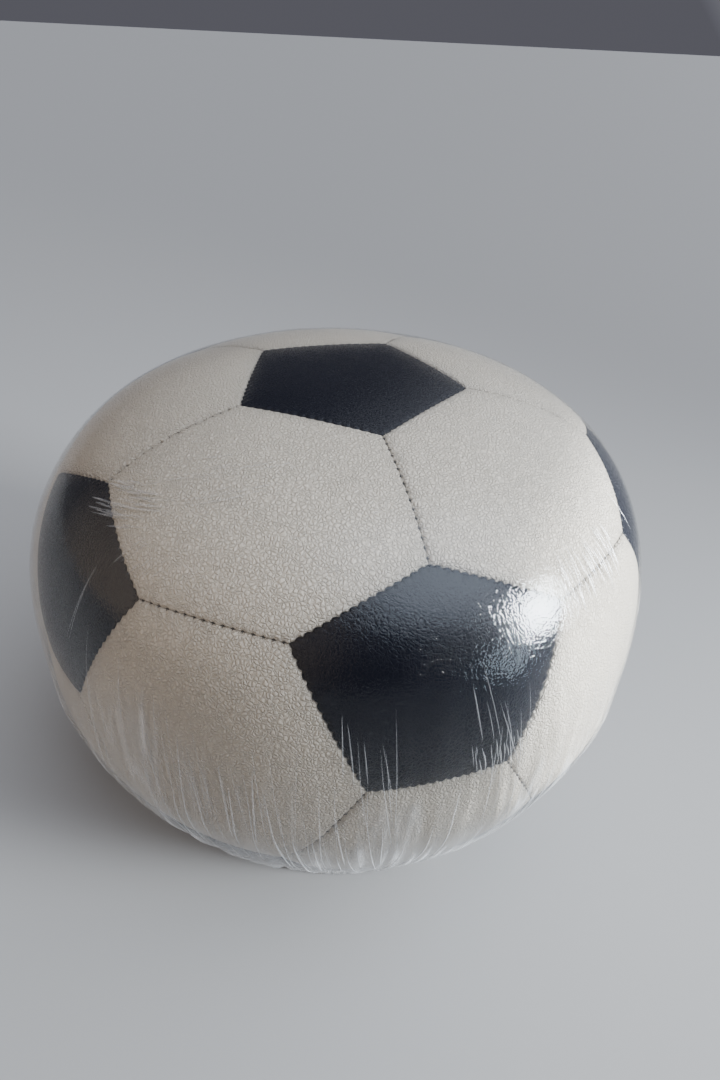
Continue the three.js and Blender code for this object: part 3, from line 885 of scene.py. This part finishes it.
# %% The film's mesh
FILM_RINGS = [  # distance from the crown in metres, points round the ring
    (0.0, 1), (0.004, 10), (0.010, 20), (0.020, 40), (0.032, 40), (0.044, 80), (0.060, 80), (0.078, 160),
    (0.096, 160), (0.115, 320), (0.133, 320), (0.150, 320)]
FILM_COLUMNS, FILM_STEP, FILM_FINE_FROM = 640, 0.0031, 0.1535


def film_mesh():
    table = FILM_RINGS + [(d, FILM_COLUMNS) for d in np.arange(FILM_FINE_FROM, FILM_LENGTH, FILM_STEP)]
    down = np.concatenate([np.full(count, d) for d, count in table])
    angle = np.concatenate([np.arange(count) * 2 * np.pi / count for d, count in table])
    points, milk_and_glare, pressed = film_points(down, angle)
    made = make_mesh("stretch_film_wrap", points, ring_faces([count for d, count in table]))
    give(made, "milk_and_glare", milk_and_glare)
    give(made, "pressed", pressed)
    return made


film = film_mesh()
print("film triangles:", triangles_in(film))


# %% Clear film
def clear_film(name, least_milky=0.008, mirror=0.85, roughness=0.07):
    """Film that mirrors by its angle to the eye, shows what is behind it, and is milky where gathered and in
    a painted glare.
    """
    finish = Finish(name)
    milk_and_glare, pressed = finish.attribute("milk_and_glare"), finish.attribute("pressed")
    streaks = finish.noise(55.0, 4.0, 0.6, finish.stretched((1.0, 1.0, 0.22)))
    grain = pebble_grain(finish) * pressed
    scratches = finish.noise(420.0, 2.0, 0.5, finish.stretched((1.0, 1.0, 0.18)))
    surface = finish.bump(grain + streaks * 2.0 + scratches * 2.4, 0.000060)
    shine = finish.node("ShaderNodeFresnel", IOR=1.45, Normal=surface)["Fac"] * mirror
    haze_and_glare = (least_milky + milk_and_glare * (0.35 + streaks)).clamped()
    skin = finish.principled(Base_Color=(0.93, 0.94, 0.95, 1), Metallic=(1 - haze_and_glare * 2.2).clamped(),
                             Roughness=(roughness + milk_and_glare * 0.25).clamped(), Normal=surface)
    clear = finish.node("ShaderNodeBsdfTransparent")["BSDF"]
    return finish.done(finish.node("ShaderNodeMixShader", Fac=(shine + haze_and_glare * 0.55).clamped(), Shader=clear,
                                   Shader_001=skin)["Shader"])


film.data.materials.append(clear_film("clear_film"))
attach(film, "pouffe")
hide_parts("stretch_film")

# %% [markdown]
# ## Creases in the film
#
# Sharp creases catch the light as thin bright lines. They come in fans: short and close together where a
# corner was pinched, long and lone where the film was dragged down. Each crease is a wandering line laid on
# the film, drawn from a fixed seed. A Geometry Nodes tree turns the lines into fine ridges that taper away
# at both ends.

# %% Fans of creases
FANS = {  # down the film and azimuth of the middle, spread of each, how many, lengths, heading, thickness
    "pinch_right": (0.209, -58, 0.014, 9.0, 46, (0.010, 0.024), 6, 0.00070),
    "pinch_left": (0.176, -155, 0.014, 6.0, 44, (0.008, 0.026), 110, 0.00062),
    "strokes_left": (0.142, -143, 0.024, 12, 26, (0.010, 0.034), 124, 0.00028),
    "hatch_left": (0.196, -142, 0.008, 4.5, 16, (0.006, 0.014), 152, 0.00040),
    "drag_left": (0.235, -149, 0.004, 1.2, 2, (0.050, 0.060), -10, 0.00055),
    "drag_front": (0.275, -83.5, 0.016, 3.0, 5, (0.030, 0.060), 11, 0.00040),
    "drag_front_left": (0.283, -102.5, 0.012, 4.0, 4, (0.030, 0.060), 5, 0.00040),
    "pinch_front": (0.293, -82, 0.008, 4.5, 20, (0.006, 0.020), 10, 0.00042),
    "folds_low_left": (0.370, -118, 0.045, 20, 15, (0.060, 0.130), 4, 0.00075),
    "folds_low_right": (0.370, -78, 0.050, 18, 10, (0.060, 0.130), -3, 0.00065),
    "pleats_front": (0.345, -114, 0.045, 18, 34, (0.040, 0.120), 5, 0.00030),
    "pleats_right": (0.335, -66, 0.050, 16, 30, (0.040, 0.110), 2, 0.00030),
    "pleats_left": (0.325, -140, 0.045, 10, 20, (0.040, 0.100), 3, 0.00030),
}
# The back's creases and the apron's: azimuth of the first and sweep, then as above without the azimuth.
ALL_ROUND = (-40, 184, 0.365, 0.060, 230, (0.030, 0.110), 2, 0.00032)
SKIRT = (0, 360, 0.478, 0.012, 170, (0.025, 0.055), 0, 0.00045)
CREASE_SEED, CREASE_POINTS, ARCH_SWEEP = 11, 12, math.radians(110)
WANDER, HEADING_SPREAD, THINNEST, THICKEST = 0.015, 2, 0.55, 1.25
TIGHTEST_RADIUS, HEM_MARGIN, LEAD = 0.05, 0.004, 0.03


def crease(down, degrees, heading, length, thickness, dice):
    """One crease: points on the film that wander about a heading, measured from straight down the film."""
    lines, turn = [], math.radians(heading)
    d, angle, step = down, math.radians(degrees), length / (CREASE_POINTS - 1)
    for i in range(CREASE_POINTS):
        lines.append((d, angle))
        turn += dice.gauss(0, WANDER)
        d += math.cos(turn) * step
        radius = float(np.interp(d, film_along, film_line[:, 0]))
        angle += math.sin(turn) * step / max(TIGHTEST_RADIUS, radius)
    d, angle = np.array(lines).T
    taper = np.sin(np.pi * (np.arange(CREASE_POINTS) + 0.35) / (CREASE_POINTS - 0.3)) ** 0.8
    return d, angle, thickness * taper * dice.uniform(THINNEST, THICKEST)


def crease_lines():
    """All the creases as one mesh of bare lines, with a thickness and a way up at each point."""
    dice = random.Random(CREASE_SEED)
    found = []
    for down, degrees, spread, turn, count, lengths, heading, thickness in FANS.values():
        for i in range(count):
            length = dice.uniform(*lengths)
            where = down + dice.uniform(-1, 1) * spread - length / 2 * math.cos(math.radians(heading))
            place = degrees + turn * (2 * (i + dice.random()) / count - 1)
            heading_here = heading + dice.gauss(0, HEADING_SPREAD)
            found.append(crease(where, place, heading_here, length, thickness, dice))
    for start, sweep, down, spread, count, lengths, heading, thickness in (ALL_ROUND, SKIRT):
        for i in range(count):
            place = start + sweep * (i + dice.random()) / count
            where = down + dice.gauss(0, spread) - LEAD
            heading_here = heading + dice.gauss(0, HEADING_SPREAD)
            found.append(crease(where, place, heading_here, dice.uniform(*lengths), thickness, dice))
    down, angle, thickness = (np.concatenate(part) for part in zip(*found))
    points = film_points(np.minimum(down, FILM_LENGTH - HEM_MARGIN), angle)[0]
    edges = [(k, k + 1) for k in range(len(points) - 1) if (k + 1) % CREASE_POINTS]
    made = make_mesh("crease_lines", points, [], edges)
    give(made, "thickness", thickness)
    give(made, "away", outward(points))
    return made


def crease_recipe(material):
    recipe = Recipe("creases", Fineness=1.0)
    lines = recipe.node("GeometryNodeMeshToCurve", Mesh=recipe.inputs["Geometry"])["Curve"]
    upright = recipe.node("GeometryNodeSetCurveNormal", {"mode": "FREE"}, Curve=lines,
                          Normal=recipe.attribute("away"))["Curve"]
    arch = recipe.node("GeometryNodeCurveArc", {"mode": "RADIUS"}, Resolution=5, Radius=1.0,
                       Start_Angle=-ARCH_SWEEP / 2, Sweep_Angle=ARCH_SWEEP)["Curve"]
    ridge = recipe.node("GeometryNodeTransform", Geometry=arch, Translation=(-math.cos(ARCH_SWEEP / 2), 0, 0))
    made = recipe.node("GeometryNodeCurveToMesh", Curve=upright, Profile_Curve=ridge["Geometry"],
                       Scale=recipe.attribute("thickness", "FLOAT") * recipe.inputs["Fineness"])
    return recipe.done(made["Mesh"], material)


creased_film = clear_film("creased_film", least_milky=0.13, mirror=2.2, roughness=0.30)
creases = grow("stretch_film_creases", crease_lines(), crease_recipe(creased_film))
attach(creases, "pouffe")
print("crease triangles:", triangles_in(creases))

# %% [markdown]
# ## The zip under the base
#
# The base panel's slot is closed by a coil zip with its slider below, where a hand can reach it. The two
# woven tapes are right as the CAD model has them, and only get a woven finish. A coil zip's teeth are one
# nylon wire wound in a flat spiral, so a Geometry Nodes tree winds it: a spiral, squashed and laid along X,
# given the wire's round section. The slider, its pull and the two stops are the CAD shapes with their edges
# rounded off.

# %% Zip finishes
def woven_tape():
    finish = Finish("woven_tape")
    ribs = finish.node("ShaderNodeTexWave", {"bands_direction": "X"}, Vector=finish.place, Scale=310.0)["Fac"]
    rows = finish.node("ShaderNodeTexWave", {"bands_direction": "Y"}, Vector=finish.place, Scale=240.0,
                       Distortion=0.6)["Fac"]
    weave = ribs * 0.6 + rows * 0.4
    tone = finish.mix(weave * 0.7 + finish.noise(90.0) * 0.3, (0.012, 0.013, 0.018, 1),
                      (0.055, 0.057, 0.070, 1))
    return finish.coat(tone, 0.82, weave, 0.0002)


def nylon():
    finish = Finish("zip_nylon")
    cloud = finish.noise(400.0, 3.0)
    tone = finish.mix(cloud, (0.012, 0.012, 0.016, 1), (0.035, 0.036, 0.045, 1))
    return finish.coat(tone, 0.32 + cloud * 0.2, cloud, 0.00005)


def zinc():
    finish = Finish("zip_zinc")
    brushed = finish.noise(900.0, 2.0, place=finish.stretched((0.08, 1.0, 1.0)))
    tarnish = finish.noise(260.0, 4.0).between(0.35, 0.75)
    tone = finish.mix(tarnish * 0.5, (0.62, 0.62, 0.63, 1), (0.36, 0.35, 0.34, 1))
    return finish.coat(tone, 0.24 + tarnish * 0.2 + brushed * 0.12, brushed, 0.00004, Metallic=1.0)


def refinish(node, material):
    """Gives a CAD node that stays its new material."""
    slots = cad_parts[node].material_slots
    if not slots:
        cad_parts[node].data.materials.append(material)
    for slot in slots:
        slot.material = material


woven = woven_tape()
for tape in ("zip_tape_front", "zip_tape_back"):
    refinish(tape, woven)

# %% Winding the coils
COIL_TURNS, COIL_WIRE = 46, 0.00072


def coil_recipe(material):
    recipe = Recipe("zip_coil", Length=0.1, Width=0.002, Height=0.001, Turns=float(COIL_TURNS),
                    Wire=COIL_WIRE)
    given = recipe.inputs
    spiral = recipe.node("GeometryNodeCurveSpiral", Resolution=10, Rotations=given["Turns"],
                         Start_Radius=0.5, End_Radius=0.5, Height=given["Length"])["Curve"]
    oval = recipe.node("ShaderNodeCombineXYZ", X=given["Height"], Y=given["Width"], Z=1.0)["Vector"]
    back = recipe.node("ShaderNodeCombineXYZ", X=given["Length"] * -0.5)["Vector"]
    laid = recipe.node("GeometryNodeTransform", Geometry=spiral, Scale=oval, Translation=back,
                       Rotation=(0.0, math.pi / 2, 0.0))["Geometry"]
    wire = recipe.node("GeometryNodeCurvePrimitiveCircle", Resolution=6, Radius=given["Wire"] * 0.5)["Curve"]
    wound = recipe.node("GeometryNodeCurveToMesh", Curve=laid, Profile_Curve=wire, Fill_Caps=True)["Mesh"]
    return recipe.done(recipe.node("GeometryNodeInstanceOnPoints", Points=given["Geometry"],
                                   Instance=wound)["Instances"], material)


winding = coil_recipe(nylon())
for side in ("front", "back"):
    low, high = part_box(f"zip_coil_{side}")
    size = high - low
    coil = grow(f"wound_coil_{side}", make_mesh("coil_middle", [(low + high) / 2], []), winding,
                Length=size.x - COIL_WIRE, Width=size.y - COIL_WIRE, Height=size.z - COIL_WIRE)
    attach(coil, "pouffe")
    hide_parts(f"zip_coil_{side}")
    print(coil.name, triangles_in(coil), "triangles")


# %% Slider, pull and stops
SAME_POINT, FLAT, SHARP = 1e-6, math.radians(1), math.radians(35)
METAL = {  # body, and radius of the rounded edges
    "zip_slider": ("zip_slider", 0.00016), "zip_pull": ("zip_pull", 0.00018),
    "zip_stop_bottom": ("pouffe", 0.00025), "zip_stop_top": ("pouffe", 0.00025),
}


def rounded_copy(node, name, radius, material):
    """A copy of a CAD node as one closed mesh with its sharp edges rounded."""
    mesh = bmesh.new()
    mesh.from_mesh(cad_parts[node].data)
    bmesh.ops.remove_doubles(mesh, verts=mesh.verts, dist=SAME_POINT)
    bmesh.ops.dissolve_limit(mesh, angle_limit=FLAT, verts=mesh.verts, edges=mesh.edges)
    sharp = [e for e in mesh.edges if len(e.link_faces) == 2 and e.calc_face_angle() > SHARP]
    bmesh.ops.bevel(mesh, geom=sharp, offset=radius, segments=2, profile=0.6, affect="EDGES",
                    clamp_overlap=True)
    bmesh.ops.recalc_face_normals(mesh, faces=mesh.faces)
    data = bpy.data.meshes.new(name)
    mesh.to_mesh(data)
    mesh.free()
    data.materials.append(material)
    return shown(data)


zinc_finish = zinc()
for node, (body, radius) in METAL.items():
    part = rounded_copy(node, f"rounded_{node}", radius, zinc_finish)
    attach(part, body)
    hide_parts(node)
    print(part.name, triangles_in(part), "triangles")

# %% [markdown]
# ## The liner and its beads
#
# Inside the cover a loose cloth bag holds the filling, so that the cover can come off. It shows only
# through the open zip. The bag is two surfaces of revolution, one inside the other, wrinkled by the same
# noise, with a slit cut in its base. The filling is a wrinkled lump of foam beads. Where the slit shows it,
# Geometry Nodes scatter real beads over it; everywhere else the beads are in its finish, with painted shade
# between them.

# %% Surfaces inside the cover
def inside_surface(depth, step, wrinkle, wrinkle_size, seed):
    """A closed surface `depth` inside the cover, dented inwards by up to `wrinkle`."""
    table = [(0.0, 1)]
    for d in np.arange(step, along[-1] - step / 2, step):
        radius = float(np.interp(d, along, outline[:, 0]))
        table.append((d, 10 * 2 ** int(np.clip(round(math.log2(max(radius, 0.008) / 0.011)), 0, 4))))
    table.append((along[-1], 1))
    down = np.concatenate([np.full(count, d) for d, count in table])
    angle = np.concatenate([np.arange(count) * 360 / count for d, count in table])
    directions = direction_at(down, angle)
    dents = np.abs(grid_noise(directions, wrinkle_size / GIRTH_RADIUS, seed)) * wrinkle
    return on_cover(directions, -depth - dents)[0], ring_faces([count for d, count in table])


# %% The liner bag
LINER_DEPTH, LINER_THICKNESS = 0.0062, 0.0006
LINER_WRINKLES = {"step": 0.0075, "wrinkle": 0.0005, "wrinkle_size": 0.030, "seed": 8}
SLIT_LENGTH, SLIT_WIDTH, SLIT_FLOOR, SLIT_TOP = 0.084, 0.004, 0.002, 0.030


def liner_cloth():
    finish = Finish("liner_cloth")
    warp = finish.noise(1500.0, 1.0, place=finish.stretched((1.0, 0.25, 1.0)))
    weft = finish.noise(1500.0, 1.0, place=finish.stretched((0.25, 1.0, 1.0)))
    cloth = warp * 0.5 + weft * 0.5
    tone = finish.mix(cloth, (0.50, 0.49, 0.46, 1), (0.78, 0.77, 0.74, 1))
    return finish.coat(tone, 0.9, cloth, 0.0002)


def slit_bag():
    outer, faces = inside_surface(LINER_DEPTH, **LINER_WRINKLES)
    inner = inside_surface(LINER_DEPTH + LINER_THICKNESS, **LINER_WRINKLES)[0]
    both = faces + [tuple(i + len(outer) for i in f[::-1]) for f in faces]
    bag = make_mesh("liner_uncut", np.concatenate([outer, inner]), both)
    x, y = SLIT_LENGTH / 2, SLIT_WIDTH / 2
    ends = [(x - y, -y), (x, 0), (x - y, y), (y - x, y), (-x, 0), (y - x, -y)]
    knife = make_mesh("liner_knife", [(a, b, z) for z in (SLIT_FLOOR, SLIT_TOP) for a, b in ends],
                      [tuple(range(5, -1, -1)), tuple(range(6, 12)),
                       *[(i, (i + 1) % 6, (i + 1) % 6 + 6, i + 6) for i in range(6)]], smooth=False)
    cut = bag.modifiers.new("slit", "BOOLEAN")
    cut.operation, cut.object, cut.solver = "DIFFERENCE", knife, "EXACT"
    mesh = bpy.data.meshes.new_from_object(bag.evaluated_get(bpy.context.evaluated_depsgraph_get()))
    mesh.name = "liner_cloth_bag"
    for helper in (bag, knife):
        bpy.data.objects.remove(helper)
    return shown(mesh)


liner = slit_bag()
liner.data.materials.clear()
liner.data.materials.append(liner_cloth())
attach(liner, "pouffe")
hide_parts("liner_bag")
print("liner triangles:", triangles_in(liner))

# %% The filling and its loose beads
FILLING_DEPTH, BEAD_RADIUS = 0.0082, 0.0017
FILLING_WRINKLES = {"step": 0.0065, "wrinkle": 0.0012, "wrinkle_size": 0.012, "seed": 12}
BEAD_PATCH, BEAD_PATCH_RISE = (0.100, 0.020), 0.0008


def foam_bead():
    finish = Finish("foam_beads")
    cells = finish.node("ShaderNodeTexVoronoi", {"feature": "F1"}, Vector=finish.place,
                        Scale=290.0)["Distance"]
    # Painted shade: the colour darkens from each cell's middle to its edges, between the beads.
    tone = finish.mix(cells.between(0.1, 0.8), (0.90, 0.90, 0.89, 1), (0.62, 0.62, 0.62, 1))
    return finish.coat(tone, 0.55, 1 - cells, 0.001)


def bead_recipe(material):
    recipe = Recipe("beads", Radius=BEAD_RADIUS, Spacing=0.0029, Seed=7)
    given = recipe.inputs
    spots = recipe.node("GeometryNodeDistributePointsOnFaces", {"distribute_method": "POISSON"},
                        Mesh=given["Geometry"], Distance_Min=given["Spacing"], Density_Max=250000.0,
                        Seed=given["Seed"])["Points"]
    bead = recipe.node("GeometryNodeMeshIcoSphere", Radius=given["Radius"], Subdivisions=2)["Mesh"]
    return recipe.done(recipe.node("GeometryNodeInstanceOnPoints", Points=spots, Instance=bead)["Instances"],
                       material)


foam = foam_bead()
points, faces = inside_surface(FILLING_DEPTH, **FILLING_WRINKLES)
filling = make_mesh("foam_filling", points, faces)
filling.data.materials.append(foam)
patch_x, patch_y = (size / 2 for size in BEAD_PATCH)
patch_z = RECESS_HEIGHT + FILLING_DEPTH + BEAD_PATCH_RISE
patch = make_mesh("bead_patch", [(-patch_x, -patch_y, patch_z), (patch_x, -patch_y, patch_z),
                                 (patch_x, patch_y, patch_z), (-patch_x, patch_y, patch_z)], [(0, 1, 2, 3)])
beads = grow("loose_beads", patch, bead_recipe(foam))
for piece in (filling, beads):
    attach(piece, "pouffe")
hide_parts("bead_filling")
print("filling triangles:", triangles_in(filling), "and beads:", triangles_in(beads))

# %% [markdown]
# ## The studio
#
# A pale floor, and soft light. A window and a smaller side window stand to the right, and a little lamp
# makes the white glare on the film. Everything else is the air: a dim dusk all round, with soft brighter
# zones above, to the right and, warmer, to the left, which the clear film mirrors as a room's walls. Each
# zone fades in by the cosine of the angle to its direction. The camera stands above and a little to the
# left of the front panel and looks down on the pouffe, rolled by three degrees.

# %% Floor and lights
def floor_finish():
    finish = Finish("studio_floor")
    tone = finish.mix(finish.noise(140.0, 3.0) * 0.06, (0.24, 0.235, 0.23, 1), (0.20, 0.20, 0.20, 1))
    return finish.done(finish.principled(Base_Color=tone, Roughness=0.7))


FLOOR_REACH = 60.0
floor = make_mesh("studio_floor", [(x * FLOOR_REACH, y * FLOOR_REACH, 0) for x, y in
                                   ((-1, -1), (1, -1), (1, 1), (-1, 1))], [(0, 1, 2, 3)], smooth=False)
floor.data.materials.append(floor_finish())

MIDDLE = (0, 0, GIRTH_HEIGHT)
LIGHTS = {  # place, target, width and height, watts, colour, spread in degrees
    "window": ((1.72, -1.23, 0.74), (0, 0, 0.30), (0.62, 0.78), 24, (0.87, 0.94, 1.0), 55),
    "window_side": ((1.36, -1.72, 0.27), MIDDLE, (0.50, 0.50), 5.0, (0.72, 0.87, 1.0), 180),
    "desk_lamp": ((0.66, -2.06, 0.65), MIDDLE, (0.040, 0.040), 0.6, (1.0, 0.98, 0.95), 180),
}


def area_light(name, place, target, size, power, colour, spread):
    lamp = bpy.data.lights.new(name, "AREA")
    lamp.shape, lamp.size, lamp.size_y = "RECTANGLE", size[0], size[1]
    lamp.energy, lamp.color, lamp.spread = power, colour, math.radians(spread)
    made = bpy.data.objects.new(name, lamp)
    made.location = place
    made.rotation_euler = (Vector(target) - Vector(place)).to_track_quat("-Z", "Y").to_euler()
    bpy.context.scene.collection.objects.link(made)


for name, settings in LIGHTS.items():
    area_light(name, *settings)
print("lights:", list(LIGHTS))


# %% The air
def studio_air(dusk, zones):
    """Soft light from all round: dusk, and zones that fade in by the cosine from their direction."""
    world = bpy.data.worlds.new("studio_air")
    bpy.context.scene.world = world
    world.use_nodes = True
    air = Nodes(world.node_tree)
    way, colour = air.node("ShaderNodeTexCoord")["Generated"], dusk
    for direction, start, full, shade in zones:
        cosine = air.node("ShaderNodeVectorMath", {"operation": "DOT_PRODUCT"}, Vector=way,
                          Vector_001=Vector(direction).normalized()[:])["Value"]
        colour = air.node("ShaderNodeVectorMath", {"operation": "MULTIPLY_ADD"}, Vector_001=shade,
                          Vector=cosine.between(start, full), Vector_002=colour)["Vector"]
    air.node("ShaderNodeOutputWorld", Surface=air.node("ShaderNodeBackground", Color=colour)["Background"])


ZONES = {  # direction, cosines where it starts and is full, colour
    "skylight": ((0.38, -0.37, 0.85), 0.76, 0.96, (2.7, 3.1, 3.7)),
    "ceiling": ((0, 0, 1), 0.35, 0.95, (0.06, 0.062, 0.072)),
    "warm_wall": ((-0.85, -0.25, 0.40), 0.50, 0.95, (0.95, 0.78, 0.62)),
    "cool_wall": ((0.75, -0.10, 0.60), 0.40, 0.95, (1.7, 1.8, 1.95)),
}
studio_air((0.10, 0.10, 0.12), ZONES.values())
print("the air's bright zones:", list(ZONES))

# %% The camera
CAMERA_PLACE = (-0.1241, -0.4417, 0.5305)
LOOK_RIGHT, LOOK_DOWN, ROLL = math.radians(17.41), math.radians(35.32), math.radians(3.03)
LENS, SENSOR = 23.99, 36.0
camera = bpy.data.objects.new("camera", bpy.data.cameras.new("camera"))
camera.data.lens, camera.data.sensor_width = LENS, SENSOR
turned = Matrix.Rotation(-LOOK_RIGHT, 4, "Z") @ Matrix.Rotation(math.pi / 2 - LOOK_DOWN, 4, "X")
camera.matrix_world = Matrix.Translation(CAMERA_PLACE) @ turned @ Matrix.Rotation(ROLL, 4, "Z")
bpy.context.scene.collection.objects.link(camera)
bpy.context.scene.camera = camera
print("the camera is", round(Vector(CAMERA_PLACE).length, 2), "m from the middle of the base")
